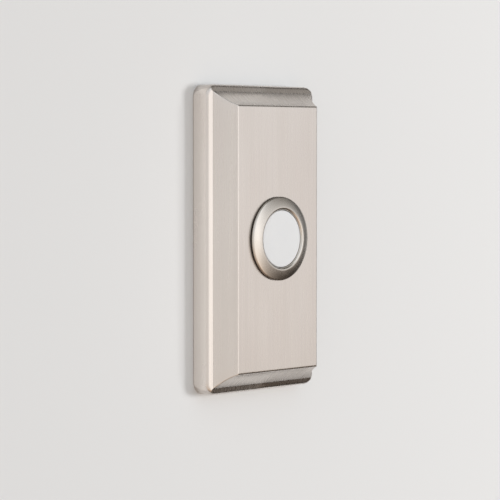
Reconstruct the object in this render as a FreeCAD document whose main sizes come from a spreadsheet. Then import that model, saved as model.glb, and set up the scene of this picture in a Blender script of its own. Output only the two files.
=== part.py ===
"""Surface-mounted doorbell push button with a coved cover, a domed bezel and a lit push button.

Each body is drawn with the wall as its XY plane: X to the right, Y up and Z out of the wall. Its Placement
then stands it up, so that in the finished part +Z is up and the button faces -Y. The origin is on the wall,
behind the middle of the button.
"""

import FreeCAD, Part
import math
import os
import Sketcher

doc = FreeCAD.newDocument("DoorbellPush")

# Driving dimensions, in millimetres unless the name says degrees, count or turns
sizes = {
    # Cover
    "overall_height": 100.0,
    "overall_width": 53.0,
    "face_depth": 13.4,
    "border": 6.65,
    "corner_radius": 4.0,
    "land_width": 2.2,
    "land_rise": 0.75,
    "land_depth": 6.65,
    "outer_edge_round": 1.0,
    "quirk": 0.25,
    "cove_radius": 15.8,
    "hip_round": 0.3,
    "face_edge_round": 0.8,
    "face_wall": 1.8,
    "rim_wall": 2.0,
    "rim_cavity_depth": 4.6,
    "cavity_corner": 2.0,
    "cavity_draft_degrees": 29.0,
    "cavity_step": 1.9,
    # Hook at the top of the cover and screw boss at its bottom
    "lug_width": 15.0,
    "lug_reach": 3.0,
    "lug_front": 2.9,
    "lug_back": 0.4,
    "boss_width": 9.0,
    "boss_reach": 2.4,
    "boss_front": 5.8,
    # Bezel ring and its sleeve, from the bore outwards
    "bezel_bore": 20.2,
    "lip_reach": 0.7,
    "lip_inset": 0.8,
    "seat_recess": 0.2,
    "rolled_reach": 0.6,
    "rolled_edge": 0.6,
    "sleeve_wall": 0.75,
    "sleeve_length": 9.4,
    "bezel_overhang": 1.95,
    "bezel_rim": 0.4,
    "bezel_bore_edge": 0.9,
    "bezel_bulge": 1.446,
    # Nut and washer behind the face
    "sleeve_clearance": 0.15,
    "thread_clearance": 0.05,
    "washer_thickness": 0.6,
    "washer_width": 2.2,
    "washer_tooth_depth": 1.2,
    "washer_tooth_gap": 1.6,
    "nut_thickness": 2.2,
    "nut_wall": 1.75,
    "nut_chamfer": 0.6,
    # Button cap
    "cap_clearance": 0.25,
    "cap_proud": 1.6,
    "cap_bevel": 0.8,
    "cap_front_wall": 1.5,
    "cap_side_wall": 2.1,
    "flange_thickness": 1.2,
    "flange_clearance": 0.3,
    "button_travel": 1.5,
    # Contacts
    "contact_gap": 0.05,
    "contact_ring_thickness": 0.5,
    "contact_ring_inset": 0.2,
    "contact_collar_wall": 0.45,
    "contact_collar_height": 1.2,
    "collar_clearance": 0.05,
    "rivet_head_diameter": 2.6,
    "rivet_head_height": 0.8,
    "rivet_bevel": 0.3,
    "rivet_shank_diameter": 1.7,
    "rivet_tail_height": 0.5,
    "rivet_side": 5.6,
    "rivet_up": 6.0,
    # Switch base
    "base_thickness": 2.0,
    "base_clearance": 0.05,
    "board_fence_wall": 0.5,
    "board_fence_height": 0.6,
    "barrier_width": 1.4,
    "barrier_height": 2.2,
    "barrier_length": 15.0,
    # Terminals and their screws
    "terminal_width": 4.6,
    "terminal_thickness": 0.8,
    "terminal_top_offset": 0.6,
    "screw_down": 2.4,
    "clamp_washer_side": 5.0,
    "clamp_washer_thickness": 0.8,
    "clamp_washer_corner": 0.5,
    "terminal_screw_diameter": 2.5,
    "terminal_screw_reach": 1.4,
    "pilot_hole_depth": 1.6,
    "terminal_screw_head_diameter": 4.8,
    "terminal_screw_head_height": 1.5,
    "terminal_screw_head_bevel": 0.4,
    "screw_slot_width": 0.7,
    "screw_slot_depth": 0.8,
    "hole_clearance": 0.05,
    # Lamp board
    "board_diameter": 9.8,
    "board_thickness": 0.8,
    "board_clearance": 0.1,
    "pin_diameter": 0.6,
    "pin_side": 4.1,
    "pin_up": 0.9,
    "pin_tail": 0.4,
    "pin_solder": 0.3,
    "lamp_diameter": 3.0,
    "lamp_flange_diameter": 3.8,
    "lamp_flange_height": 0.9,
    "lamp_height": 4.2,
    "resistor_diameter": 1.6,
    "resistor_waist_diameter": 1.3,
    "resistor_length": 3.4,
    "resistor_end_length": 0.8,
    "diode_diameter": 1.7,
    "diode_length": 3.2,
    "lead_diameter": 0.4,
    "lead_span": 5.0,
    "component_up": 3.15,
    # Return spring
    "spring_wire": 0.5,
    "spring_fence_gap": 0.55,
    "spring_narrowing": 0.6,
    "spring_turns": 3.5,
    "spring_end_clearance": 0.05,
    # Mounting plate and its fixing
    "plate_side_gap": 1.5,
    "plate_end_gap": 5.0,
    "plate_thickness": 1.2,
    "plate_corner": 3.0,
    "wire_opening_width": 26.0,
    "wire_opening_top": 13.5,
    "wire_opening_bottom": 26.0,
    "wire_opening_corner": 5.0,
    "wall_slot_inset": 9.0,
    "wall_slot_width": 4.4,
    "wall_slot_length": 8.0,
    "tongue_width": 11.0,
    "tongue_overlap": 1.8,
    "tongue_clearance": 0.15,
    "plate_bend": 0.5,
    "tab_width": 10.0,
    "tab_gap": 0.35,
    "tab_depth": 5.6,
    "grub_depth": 3.3,
    "grub_diameter": 3.0,
    "grub_length": 6.0,
    "grub_recess": 0.4,
    "grub_point": 0.6,
    "grub_chamfer": 0.3,
    "grub_hole_clearance": 0.2,
    "hex_key": 1.5,
    "hex_socket_depth": 2.0,
}

sheet = doc.addObject("Spreadsheet::Sheet", "Dims")
for row, (alias, number) in enumerate(sizes.items(), start=1):
    sheet.set(f"A{row}", alias)
    sheet.set(f"B{row}", str(number))
    sheet.setAlias(f"B{row}", alias)
doc.recompute()


class Size:
    """A length together with the spreadsheet expression that gives it."""

    def __init__(self, text, value):
        self.text = text
        self.value = value

    def __add__(self, other):
        other = as_size(other)
        return Size(f"({self.text} + {other.text})", self.value + other.value)

    def __sub__(self, other):
        other = as_size(other)
        return Size(f"({self.text} - {other.text})", self.value - other.value)

    def __rsub__(self, other):
        return as_size(other) - self

    def __mul__(self, other):
        other = as_size(other)
        return Size(f"({self.text} * {other.text})", self.value * other.value)

    def __truediv__(self, other):
        other = as_size(other)
        return Size(f"({self.text} / {other.text})", self.value / other.value)

    def __neg__(self):
        return Size(f"(0 - {self.text})", -self.value)


def as_size(number):
    """The number as a Size."""
    return number if isinstance(number, Size) else Size(str(number), float(number))


def least(one, other):
    """The smaller of two sizes."""
    one, other = as_size(one), as_size(other)
    return Size(f"min({one.text}; {other.text})", min(one.value, other.value))


def sheet_size(alias):
    """The Size of one cell of the spreadsheet."""
    return Size(f"Dims.{alias}", float(sheet.get(alias)))


def bind(item, path, size):
    """Ties a property of a document object to a size."""
    item.setExpression(path, as_size(size).text)


# Sketches

STAND_UP = FreeCAD.Placement(FreeCAD.Vector(0, 0, 0), FreeCAD.Rotation(FreeCAD.Vector(1, 0, 0), 90))

# The numbers by which a sketch knows its own origin and axes
ORIGIN = (-1, 1)
X_AXIS_INDEX = -1
Y_AXIS_INDEX = -2


def new_body(name):
    """An empty body, stood up so that its Z axis points out of the wall."""
    body = doc.addObject("PartDesign::Body", name)
    body.Label = name
    body.Placement = STAND_UP
    return body


def sketch_on(body, name, role, offset=None):
    """An empty sketch on one of the body's own origin planes, moved along its normal by offset."""
    support = next(item for item in body.Origin.OriginFeatures if item.Role == role)
    sketch = body.newObject("Sketcher::SketchObject", name)
    sketch.AttachmentSupport = [(support, "")]
    sketch.MapMode = "FlatFace"
    if offset is not None:
        bind(sketch, "AttachmentOffset.Base.z", offset)
    return sketch


def pin_point(sketch, geometry, position, x, y):
    """Holds one point of a sketch at x, y."""
    for kind, place, axis in (("DistanceX", x, Y_AXIS_INDEX), ("DistanceY", y, X_AXIS_INDEX)):
        place = as_size(place)
        if place.text == "0":
            sketch.addConstraint(Sketcher.Constraint("PointOnObject", geometry, position, axis))
            continue
        constraint = Sketcher.Constraint(kind, *ORIGIN, geometry, position, place.value)
        index = sketch.addConstraint(constraint)
        bind(sketch, f"Constraints[{index}]", place)


def arc_between(start, end, radius, turn):
    """The short arc from start to end, turning left for turn = 1 and right for turn = -1."""
    chord = end - start
    middle = (start + end) / 2
    height = math.sqrt(max(radius**2 - (chord.Length / 2) ** 2, 0.0))
    normal = FreeCAD.Vector(-chord.y, chord.x, 0).normalize()
    centre = middle + normal * height * turn
    first, last = (start, end) if turn > 0 else (end, start)
    from_angle = math.atan2(first.y - centre.y, first.x - centre.x)
    to_angle = math.atan2(last.y - centre.y, last.x - centre.x)
    circle = Part.Circle(centre, FreeCAD.Vector(0, 0, 1), radius)
    return Part.ArcOfCircle(circle, from_angle, to_angle)


def add_outline(sketch, points, closed=True):
    """Draws a line through points, each (x, y) or (x, y, radius, turn), back to the first if it is closed.

    A point with a radius is reached by an arc that turns left (1) or right (-1), the others by a line.
    """
    ends = []
    targets = points if closed else points[1:]
    previous = points[-1] if closed else points[0]
    for point in targets:
        start = FreeCAD.Vector(as_size(previous[0]).value, as_size(previous[1]).value, 0)
        end = FreeCAD.Vector(as_size(point[0]).value, as_size(point[1]).value, 0)
        if len(point) == 4:
            radius, turning = as_size(point[2]), point[3]
            index = sketch.addGeometry(arc_between(start, end, radius.value, turning), False)
            constraint = sketch.addConstraint(Sketcher.Constraint("Radius", index, radius.value))
            bind(sketch, f"Constraints[{constraint}]", radius)
            ends.append((index, 1, 2) if turning > 0 else (index, 2, 1))
        else:
            index = sketch.addGeometry(Part.LineSegment(start, end), False)
            ends.append((index, 1, 2))
        previous = point
    if not closed:
        pin_point(sketch, ends[0][0], ends[0][1], points[0][0], points[0][1])
    for number, (index, _, end_point) in enumerate(ends):
        if closed or number < len(ends) - 1:
            after, after_start, _ = ends[(number + 1) % len(ends)]
            sketch.addConstraint(Sketcher.Constraint("Coincident", index, end_point, after, after_start))
        pin_point(sketch, index, end_point, targets[number][0], targets[number][1])


def add_circle(sketch, radius, x=0, y=0):
    """Draws a circle about x, y."""
    x, y, radius = as_size(x), as_size(y), as_size(radius)
    centre = FreeCAD.Vector(x.value, y.value, 0)
    index = sketch.addGeometry(Part.Circle(centre, FreeCAD.Vector(0, 0, 1), radius.value), False)
    if x.text == y.text == "0":
        sketch.addConstraint(Sketcher.Constraint("Coincident", index, 3, *ORIGIN))
    else:
        pin_point(sketch, index, 3, x, y)
    constraint = sketch.addConstraint(Sketcher.Constraint("Radius", index, radius.value))
    bind(sketch, f"Constraints[{constraint}]", radius)


def add_rectangle(sketch, left, right, bottom, top, corner=None):
    """Draws an upright rectangle, with its corners rounded if a corner radius is given."""
    if corner is None:
        add_outline(sketch, [(right, bottom), (right, top), (left, top), (left, bottom)])
        return
    left, right, bottom, top = as_size(left), as_size(right), as_size(bottom), as_size(top)
    points = [
        (right - corner, bottom),
        (right, bottom + corner, corner, 1),
        (right, top - corner),
        (right - corner, top, corner, 1),
        (left + corner, top),
        (left, top - corner, corner, 1),
        (left, bottom + corner),
        (left + corner, bottom, corner, 1),
    ]
    add_outline(sketch, points)


def add_slot(sketch, width, length, x, y):
    """Draws an upright slot with round ends about x, y."""
    x, y, half = as_size(x), as_size(y), width / 2
    rise = (length - width) / 2
    axis = FreeCAD.Vector(0, 0, 1)
    upper = Part.Circle(FreeCAD.Vector(x.value, (y + rise).value, 0), axis, half.value)
    lower = Part.Circle(FreeCAD.Vector(x.value, (y - rise).value, 0), axis, half.value)
    arc_up = sketch.addGeometry(Part.ArcOfCircle(upper, 0, math.pi), False)
    arc_down = sketch.addGeometry(Part.ArcOfCircle(lower, math.pi, 2 * math.pi), False)
    sides = []
    for side in (-1, 1):
        across = x.value + side * half.value
        ends = [FreeCAD.Vector(across, place, 0) for place in ((y + rise).value, (y - rise).value)]
        sides.append(sketch.addGeometry(Part.LineSegment(*ends), False))
    left, right = sides
    for one, one_end, other, other_end in (
        (arc_up, 1, right, 1),
        (arc_up, 2, left, 1),
        (arc_down, 1, left, 2),
        (arc_down, 2, right, 2),
    ):
        sketch.addConstraint(Sketcher.Constraint("Tangent", one, one_end, other, other_end))
    pin_point(sketch, arc_up, 3, x, y + rise)
    pin_point(sketch, arc_down, 3, x, y - rise)
    sketch.addConstraint(Sketcher.Constraint("Equal", arc_up, arc_down))
    constraint = sketch.addConstraint(Sketcher.Constraint("Radius", arc_up, half.value))
    bind(sketch, f"Constraints[{constraint}]", half)


# Features

def pad(body, sketch, length, reverse=False, symmetric=False, taper=None):
    """Raises a sketch into a solid."""
    feature = body.newObject("PartDesign::Pad", sketch.Name + "Pad")
    feature.Profile = sketch
    bind(feature, "Length", length)
    feature.Reversed = reverse
    if symmetric:
        feature.SideType = "Symmetric"
    if taper is not None:
        bind(feature, "TaperAngle", taper)
    return feature


def pocket(body, sketch, length=None, reverse=False, symmetric=False, taper=None):
    """Cuts a sketch out of the body, to a depth or right through."""
    feature = body.newObject("PartDesign::Pocket", sketch.Name + "Pocket")
    feature.Profile = sketch
    feature.Reversed = reverse
    if length is None:
        feature.Type = "ThroughAll"
    else:
        bind(feature, "Length", length)
    if symmetric:
        feature.SideType = "Symmetric"
    if taper is not None:
        bind(feature, "TaperAngle", taper)
    return feature


def turn(body, sketch, kind="Revolution", axis="V_Axis"):
    """Turns a sketch about one of its own axes, as material or as a groove."""
    feature = body.newObject("PartDesign::" + kind, sketch.Name + kind)
    feature.Profile = sketch
    feature.ReferenceAxis = (sketch, [axis])
    feature.Angle = 360.0
    return feature


def around(body, feature, count, sketch):
    """Repeats a feature evenly about the body's Z axis."""
    pattern = body.newObject("PartDesign::PolarPattern", feature.Name + "Pattern")
    pattern.Originals = [feature]
    pattern.Axis = (sketch, ["N_Axis"])
    pattern.Angle = 360.0
    pattern.Occurrences = count
    body.Tip = pattern
    return pattern


def edges_that(feature, test):
    """The names of a feature's edges that pass a test."""
    doc.recompute()
    return [f"Edge{number}" for number, edge in enumerate(feature.Shape.Edges, start=1) if test(edge)]


def rounded(body, feature, name, edges, radius):
    """Rounds the named edges of a feature."""
    fillet = body.newObject("PartDesign::Fillet", name)
    fillet.Base = (feature, edges)
    bind(fillet, "Radius", radius)
    return fillet


# How near an edge comes to the height that it is picked by
SLACK = 1e-4


def level_edge(edge, z):
    """Whether an edge lies wholly at height z."""
    box = edge.BoundBox
    return abs(box.ZMin - z) < SLACK and abs(box.ZMax - z) < SLACK


def revolved(name, points):
    """A body turned about its Z axis from a half section of (radius, distance from the wall) points."""
    body = new_body(name)
    sketch = sketch_on(body, name + "Section", "XZ_Plane")
    add_outline(sketch, points)
    turn(body, sketch)
    return body


d = {alias: sheet_size(alias) for alias in sizes}

# Places that several pieces share, as distances out from the wall

half_width = d["overall_width"] / 2
half_height = d["overall_height"] / 2
face_front = d["face_depth"]
face_back = face_front - d["face_wall"]
lip_back = face_front - d["lip_inset"]
sleeve_back = face_front - d["sleeve_length"]
base_back = sleeve_back + d["rolled_edge"]
base_front = base_back + d["base_thickness"]
terminal_back = base_back - d["terminal_thickness"]
clamp_back = terminal_back - d["clamp_washer_thickness"]
rivet_front = base_front + d["rivet_head_height"]
contact_back = rivet_front + d["contact_gap"] + d["button_travel"]
skirt_back = contact_back + d["contact_ring_thickness"]
cap_front = face_front + d["cap_proud"]
cap_inner_front = cap_front - d["cap_front_wall"]
bore_radius = d["bezel_bore"] / 2
shoulder_radius = bore_radius + d["lip_reach"]
seat_radius = shoulder_radius + d["seat_recess"]
sleeve_radius = seat_radius + d["sleeve_wall"]
sleeve_hole = sleeve_radius + d["sleeve_clearance"]
nut_across_flats = (sleeve_radius + d["nut_wall"]) * 2
cap_radius = bore_radius - d["cap_clearance"]
cap_inner_radius = cap_radius - d["cap_side_wall"]
board_front = base_front + d["board_thickness"]
fence_inner = d["board_diameter"] / 2 + d["board_clearance"]
fence_outer = fence_inner + d["board_fence_wall"]
inner_side = half_width - d["rim_wall"]
inner_top = half_height - d["rim_wall"]
tongue_back = d["lug_front"] + d["tongue_clearance"]
rivet_hole = d["rivet_shank_diameter"] / 2 + d["hole_clearance"]
pin_hole = d["pin_diameter"] / 2 + d["hole_clearance"]
screw_hole = d["terminal_screw_diameter"] / 2 + d["hole_clearance"]

SIDES = {"left": -1, "right": 1}
WASHER_TEETH = 16

# How far a cut runs out past the stock, and how deep a lug is rooted in the wall that carries it
CUT_PAST = 1.0
lug_root = d["rim_wall"] / 2

# The least rise and run of a mitre, as shares of the cove's height and of the border
MITRE_RISE = 0.5
MITRE_RUN = 0.33

# How far a rounded corner passes inside the plain one, as a share of its radius
CORNER_INSET = 1 - math.sqrt(0.5)


# Cover

def land_outline(half_span):
    """The waste above the land on the right-hand side of a half section, as outline points."""
    outside = half_span + CUT_PAST
    edge_depth = d["land_depth"] - d["land_rise"]
    past_depth = edge_depth - d["land_rise"] / d["land_width"] * CUT_PAST
    return [
        (half_span - d["land_width"], d["land_depth"]),
        (outside, d["land_depth"]),
        (outside, past_depth),
    ]


def cove_outline(half_span):
    """The waste outside the cove on the right-hand side of a half section, as outline points."""
    crease = half_span - d["land_width"]
    face_edge = half_span - d["border"]
    crease_depth = d["land_depth"] + d["quirk"]
    outside = half_span + CUT_PAST
    above = face_front + CUT_PAST
    return [
        (crease, crease_depth),
        (face_edge, face_front, d["cove_radius"], -1),
        (face_edge, above),
        (outside, above),
        (outside, crease_depth),
    ]


def mirrored(points):
    """The same outline on the other side of the vertical axis."""
    flipped = []
    for point in points:
        x, y = -as_size(point[0]), point[1]
        flipped.append((x, y) if len(point) == 2 else (x, y, point[2], -point[3]))
    return flipped


def cut_sides(body, name, role, outline):
    """Cuts the same waste away along two opposite sides."""
    sketch = sketch_on(body, name, role)
    add_outline(sketch, outline)
    add_outline(sketch, mirrored(outline))
    return pocket(body, sketch, symmetric=True)


def make_cover():
    """The die-cast cover: a low stepped border, a coved rise on all four sides and a flat brushed face."""
    body = new_body("cover")
    slab_sketch = sketch_on(body, "Slab", "XY_Plane")
    add_rectangle(slab_sketch, -half_width, half_width, -half_height, half_height, d["corner_radius"])
    pad(body, slab_sketch, d["land_depth"])
    cut_sides(body, "SideLand", "XZ_Plane", land_outline(half_width))
    land = cut_sides(body, "EndLand", "YZ_Plane", land_outline(half_height))
    outer_round = least(d["outer_edge_round"], d["corner_radius"] * CORNER_INSET)
    rounded(body, land, "OuterRound", edges_that(land, is_outer_edge), outer_round)

    block_sketch = sketch_on(body, "Block", "XY_Plane")
    block_side = half_width - d["land_width"]
    block_end = half_height - d["land_width"]
    add_rectangle(block_sketch, -block_side, block_side, -block_end, block_end)
    pad(body, block_sketch, face_front)
    cut_sides(body, "SideCove", "XZ_Plane", cove_outline(half_width))
    coved = cut_sides(body, "EndCove", "YZ_Plane", cove_outline(half_height))
    face_loop = edges_that(coved, lambda edge: level_edge(edge, face_front.value))
    softened = rounded(body, coved, "FaceEdge", face_loop, d["face_edge_round"])
    rounded(body, softened, "Mitres", edges_that(softened, is_mitre), d["hip_round"])

    cut_cavity(body)
    add_fixing_lugs(body)
    sleeve_sketch = sketch_on(body, "SleeveHole", "XY_Plane")
    add_circle(sleeve_sketch, sleeve_hole)
    pocket(body, sleeve_sketch, reverse=True)
    grub_sketch = sketch_on(body, "GrubHole", "XZ_Plane")
    add_circle(grub_sketch, d["grub_diameter"] / 2 + d["hole_clearance"], 0, d["grub_depth"])
    pocket(body, grub_sketch, reverse=True)
    return body


def is_outer_edge(edge):
    """Whether an edge is part of the land's outer edge, level along the sides and raised at the corners."""
    box = edge.BoundBox
    low = (d["land_depth"] - d["land_rise"]).value
    return box.ZMin > low - SLACK and box.ZMax < d["land_depth"].value - SLACK


def is_mitre(edge):
    """Whether an edge is the diagonal where two coves meet."""
    box = edge.BoundBox
    rise = (face_front - d["land_depth"]).value * MITRE_RISE
    run = d["border"].value * MITRE_RUN
    return box.ZLength > rise and min(box.XLength, box.YLength) > run


def cut_cavity(body):
    """Hollows the cover from the back: a shallow wide rim and a drafted space behind the coved block."""
    rim_sketch = sketch_on(body, "RimCavity", "XY_Plane")
    add_rectangle(rim_sketch, -inner_side, inner_side, -inner_top, inner_top, d["cavity_corner"])
    pocket(body, rim_sketch, d["rim_cavity_depth"], reverse=True)
    side = inner_side - d["cavity_step"]
    end = inner_top - d["cavity_step"]
    inner_sketch = sketch_on(body, "FaceCavity", "XY_Plane", d["rim_cavity_depth"])
    add_rectangle(inner_sketch, -side, side, -end, end)
    inner_depth = face_back - d["rim_cavity_depth"]
    pocket(body, inner_sketch, inner_depth, reverse=True, taper=-d["cavity_draft_degrees"])


def add_fixing_lugs(body):
    """The lug that hooks behind the plate's tongue, and the boss that the grub screw is driven through."""
    lug_sketch = sketch_on(body, "TopLug", "XY_Plane", d["lug_back"])
    half_lug = d["lug_width"] / 2
    add_rectangle(lug_sketch, -half_lug, half_lug, inner_top - d["lug_reach"], inner_top + lug_root)
    pad(body, lug_sketch, d["lug_front"] - d["lug_back"])
    boss_sketch = sketch_on(body, "GrubBoss", "XY_Plane", d["lug_back"])
    half_boss = d["boss_width"] / 2
    add_rectangle(boss_sketch, -half_boss, half_boss, -inner_top - lug_root, d["boss_reach"] - inner_top)
    pad(body, boss_sketch, d["boss_front"] - d["lug_back"])


# Bezel, washer and nut

def make_bezel_ring():
    """The domed ring: a round front, a lip that stops the cap, and a sleeve with its rear edge rolled in."""
    outer = sleeve_radius + d["bezel_overhang"]
    across = outer - bore_radius
    along = d["bezel_bore_edge"] - d["bezel_rim"]
    bulge = d["bezel_bulge"]
    dome_radius = (across * across + along * along) / (bulge * 8) + bulge / 2
    rolled = seat_radius - d["rolled_reach"]
    points = [
        (outer, face_front),
        (outer, face_front + d["bezel_rim"]),
        (bore_radius, face_front + d["bezel_bore_edge"], dome_radius, 1),
        (bore_radius, lip_back),
        (shoulder_radius, lip_back),
        (shoulder_radius, base_front),
        (seat_radius, base_front),
        (seat_radius, base_back),
        (rolled, base_back),
        (rolled, sleeve_back),
        (sleeve_radius, sleeve_back),
        (sleeve_radius, face_front),
    ]
    return revolved("bezel_ring", points)


def make_lock_washer():
    """A thin washer with teeth round its outside that bite into the cover and the nut."""
    body = new_body("lock_washer")
    washer_back = face_back - d["washer_thickness"]
    sketch = sketch_on(body, "WasherRing", "XY_Plane", washer_back)
    washer_radius = sleeve_hole + d["washer_width"]
    add_circle(sketch, washer_radius)
    add_circle(sketch, sleeve_hole)
    pad(body, sketch, d["washer_thickness"])
    notch_sketch = sketch_on(body, "ToothGap", "XY_Plane", washer_back)
    half_gap = d["washer_tooth_gap"] / 2
    tooth_root = washer_radius - d["washer_tooth_depth"]
    add_rectangle(notch_sketch, -half_gap, half_gap, tooth_root, washer_radius + CUT_PAST)
    notch = pocket(body, notch_sketch, d["washer_thickness"], reverse=True)
    around(body, notch, WASHER_TEETH, notch_sketch)
    return body


def add_hexagon(sketch, across_flats, x=0, y=0):
    """Draws a hexagon with two upright flats about x, y."""
    x, y = as_size(x), as_size(y)
    half = across_flats / 2
    corner = across_flats / math.sqrt(3)
    half_side = corner / 2
    points = [
        (x + half, y - half_side),
        (x + half, y + half_side),
        (x, y + corner),
        (x - half, y + half_side),
        (x - half, y - half_side),
        (x, y - corner),
    ]
    add_outline(sketch, points)


def make_bezel_nut():
    """The thin hexagon nut on the sleeve, with its corners turned down at the back."""
    body = new_body("bezel_nut")
    nut_front = face_back - d["washer_thickness"]
    nut_back = nut_front - d["nut_thickness"]
    sketch = sketch_on(body, "NutBlank", "XY_Plane", nut_back)
    add_hexagon(sketch, nut_across_flats)
    add_circle(sketch, sleeve_radius + d["thread_clearance"])
    pad(body, sketch, d["nut_thickness"])
    corner = nut_across_flats / math.sqrt(3)
    flat = corner - d["nut_chamfer"] * 2
    outside = corner + CUT_PAST
    chamfer_sketch = sketch_on(body, "NutChamfer", "XZ_Plane")
    chamfer_front = nut_back + d["nut_chamfer"]
    add_outline(chamfer_sketch, [(flat, nut_back), (outside, nut_back), (outside, chamfer_front)])
    turn(body, chamfer_sketch, "Groove")
    return body


# Button

def make_button_cap():
    """The white lens: a thimble with a bevelled front and a flange that the lip stops."""
    flange = shoulder_radius - d["flange_clearance"]
    bevel = d["cap_bevel"]
    points = [
        (0, cap_inner_front),
        (cap_inner_radius, cap_inner_front),
        (cap_inner_radius, skirt_back),
        (cap_radius, skirt_back),
        (cap_radius, lip_back - d["flange_thickness"]),
        (flange, lip_back - d["flange_thickness"]),
        (flange, lip_back),
        (cap_radius, lip_back),
        (cap_radius, cap_front - bevel),
        (cap_radius - bevel, cap_front),
        (0, cap_front),
    ]
    return revolved("button_cap", points)


def make_contact_ring():
    """The stamped brass ring under the cap's skirt, with a collar that grips inside the skirt."""
    outer = cap_radius - d["contact_ring_inset"]
    collar = cap_inner_radius - d["collar_clearance"]
    inner = collar - d["contact_collar_wall"]
    collar_front = skirt_back + d["contact_collar_height"]
    points = [
        (inner, contact_back),
        (outer, contact_back),
        (outer, skirt_back),
        (collar, skirt_back),
        (collar, collar_front),
        (inner, collar_front),
    ]
    return revolved("contact_ring", points)


def make_return_spring():
    """The conical spring from the base to the inside of the cap, its fine wire simplified to six flats."""
    body = new_body("return_spring")
    sketch = sketch_on(body, "SpringWire", "XZ_Plane")
    wire_corner = d["spring_wire"] / math.sqrt(3)
    first_turn = base_front + wire_corner + d["spring_end_clearance"]
    last_turn = cap_inner_front - wire_corner - d["spring_end_clearance"]
    base_radius = fence_outer + d["spring_fence_gap"] + d["spring_wire"] / 2
    add_hexagon(sketch, d["spring_wire"], base_radius, first_turn)
    coil = body.newObject("PartDesign::AdditiveHelix", "Coil")
    coil.Profile = sketch
    coil.ReferenceAxis = (sketch, ["V_Axis"])
    coil.Mode = "height-turns-growth"
    bind(coil, "Height", last_turn - first_turn)
    bind(coil, "Turns", d["spring_turns"])
    bind(coil, "Growth", -d["spring_narrowing"] / d["spring_turns"])
    return body


# Switch base and contacts

def make_switch_base():
    """The moulded disc that closes the sleeve, with a fence round the board and a rib between terminals."""
    body = new_body("switch_base")
    disc_sketch = sketch_on(body, "BaseDisc", "XY_Plane", base_back)
    add_circle(disc_sketch, seat_radius - d["base_clearance"])
    pad(body, disc_sketch, d["base_thickness"])
    fence_sketch = sketch_on(body, "BoardFence", "XY_Plane", base_front)
    add_circle(fence_sketch, fence_outer)
    add_circle(fence_sketch, fence_inner)
    pad(body, fence_sketch, d["board_fence_height"])
    barrier_sketch = sketch_on(body, "Barrier", "XY_Plane", base_back)
    half_barrier = d["barrier_width"] / 2
    half_length = d["barrier_length"] / 2
    add_rectangle(barrier_sketch, -half_barrier, half_barrier, -half_length, half_length)
    pad(body, barrier_sketch, d["barrier_height"], reverse=True)
    hole_sketch = sketch_on(body, "RivetAndPinHoles", "XY_Plane", base_front)
    pilot_sketch = sketch_on(body, "ScrewPilots", "XY_Plane", base_back)
    for side in SIDES.values():
        add_circle(hole_sketch, rivet_hole, d["rivet_side"] * side, d["rivet_up"])
        add_circle(hole_sketch, pin_hole, d["pin_side"] * side, d["pin_up"])
        add_circle(pilot_sketch, screw_hole, d["rivet_side"] * side, -d["screw_down"])
    pocket(body, hole_sketch)
    pocket(body, pilot_sketch, d["pilot_hole_depth"], reverse=True)
    return body


def make_terminal(name, side):
    """A brass strip behind the base, from the fixed contact's rivet down to the wire screw."""
    body = new_body(name)
    top = d["rivet_up"] - d["terminal_top_offset"]
    bottom = -d["screw_down"]
    across = d["rivet_side"] * side
    sketch = sketch_on(body, name + "Strip", "XY_Plane", terminal_back)
    add_slot(sketch, d["terminal_width"], top - bottom + d["terminal_width"], across, (top + bottom) / 2)
    add_circle(sketch, rivet_hole, across, d["rivet_up"])
    add_circle(sketch, pin_hole, d["pin_side"] * side, d["pin_up"])
    add_circle(sketch, screw_hole, across, bottom)
    pad(body, sketch, d["terminal_thickness"])
    return body


def place_beside(body, across, up):
    """Moves a body drawn about its own axis to its place on the base."""
    bind(body, "Placement.Base.x", across)
    bind(body, "Placement.Base.z", up)


def make_contact_rivet(name, side):
    """A fixed contact: a bevelled brass rivet through the base and the strip, headed over behind."""
    head = d["rivet_head_diameter"] / 2
    shank = d["rivet_shank_diameter"] / 2
    bevel = d["rivet_bevel"]
    points = [
        (0, terminal_back - d["rivet_tail_height"]),
        (head, terminal_back - d["rivet_tail_height"]),
        (head, terminal_back),
        (shank, terminal_back),
        (shank, base_front),
        (head, base_front),
        (head, rivet_front - bevel),
        (head - bevel, rivet_front),
        (0, rivet_front),
    ]
    body = revolved(name, points)
    place_beside(body, d["rivet_side"] * side, d["rivet_up"])
    return body


def make_clamp_washer(name, side):
    """The square washer that presses the bell wire against the strip."""
    body = new_body(name)
    sketch = sketch_on(body, name + "Plate", "XY_Plane", clamp_back)
    half = d["clamp_washer_side"] / 2
    add_rectangle(sketch, -half, half, -half, half, d["clamp_washer_corner"])
    add_circle(sketch, screw_hole)
    pad(body, sketch, d["clamp_washer_thickness"])
    place_beside(body, d["rivet_side"] * side, -d["screw_down"])
    return body


def make_terminal_screw(name, side):
    """A slotted cheese-head screw, driven from behind."""
    head = d["terminal_screw_head_diameter"] / 2
    shank = d["terminal_screw_diameter"] / 2
    bevel = d["terminal_screw_head_bevel"]
    head_back = clamp_back - d["terminal_screw_head_height"]
    points = [
        (0, head_back),
        (head - bevel, head_back),
        (head, head_back + bevel),
        (head, clamp_back),
        (shank, clamp_back),
        (shank, base_back + d["terminal_screw_reach"]),
        (0, base_back + d["terminal_screw_reach"]),
    ]
    body = revolved(name, points)
    slot_sketch = sketch_on(body, name + "Slot", "XY_Plane", head_back)
    half_slot = d["screw_slot_width"] / 2
    add_rectangle(slot_sketch, -half_slot, half_slot, -head - CUT_PAST, head + CUT_PAST)
    pocket(body, slot_sketch, d["screw_slot_depth"], reverse=True)
    place_beside(body, d["rivet_side"] * side, -d["screw_down"])
    return body


# Lamp board

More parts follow.
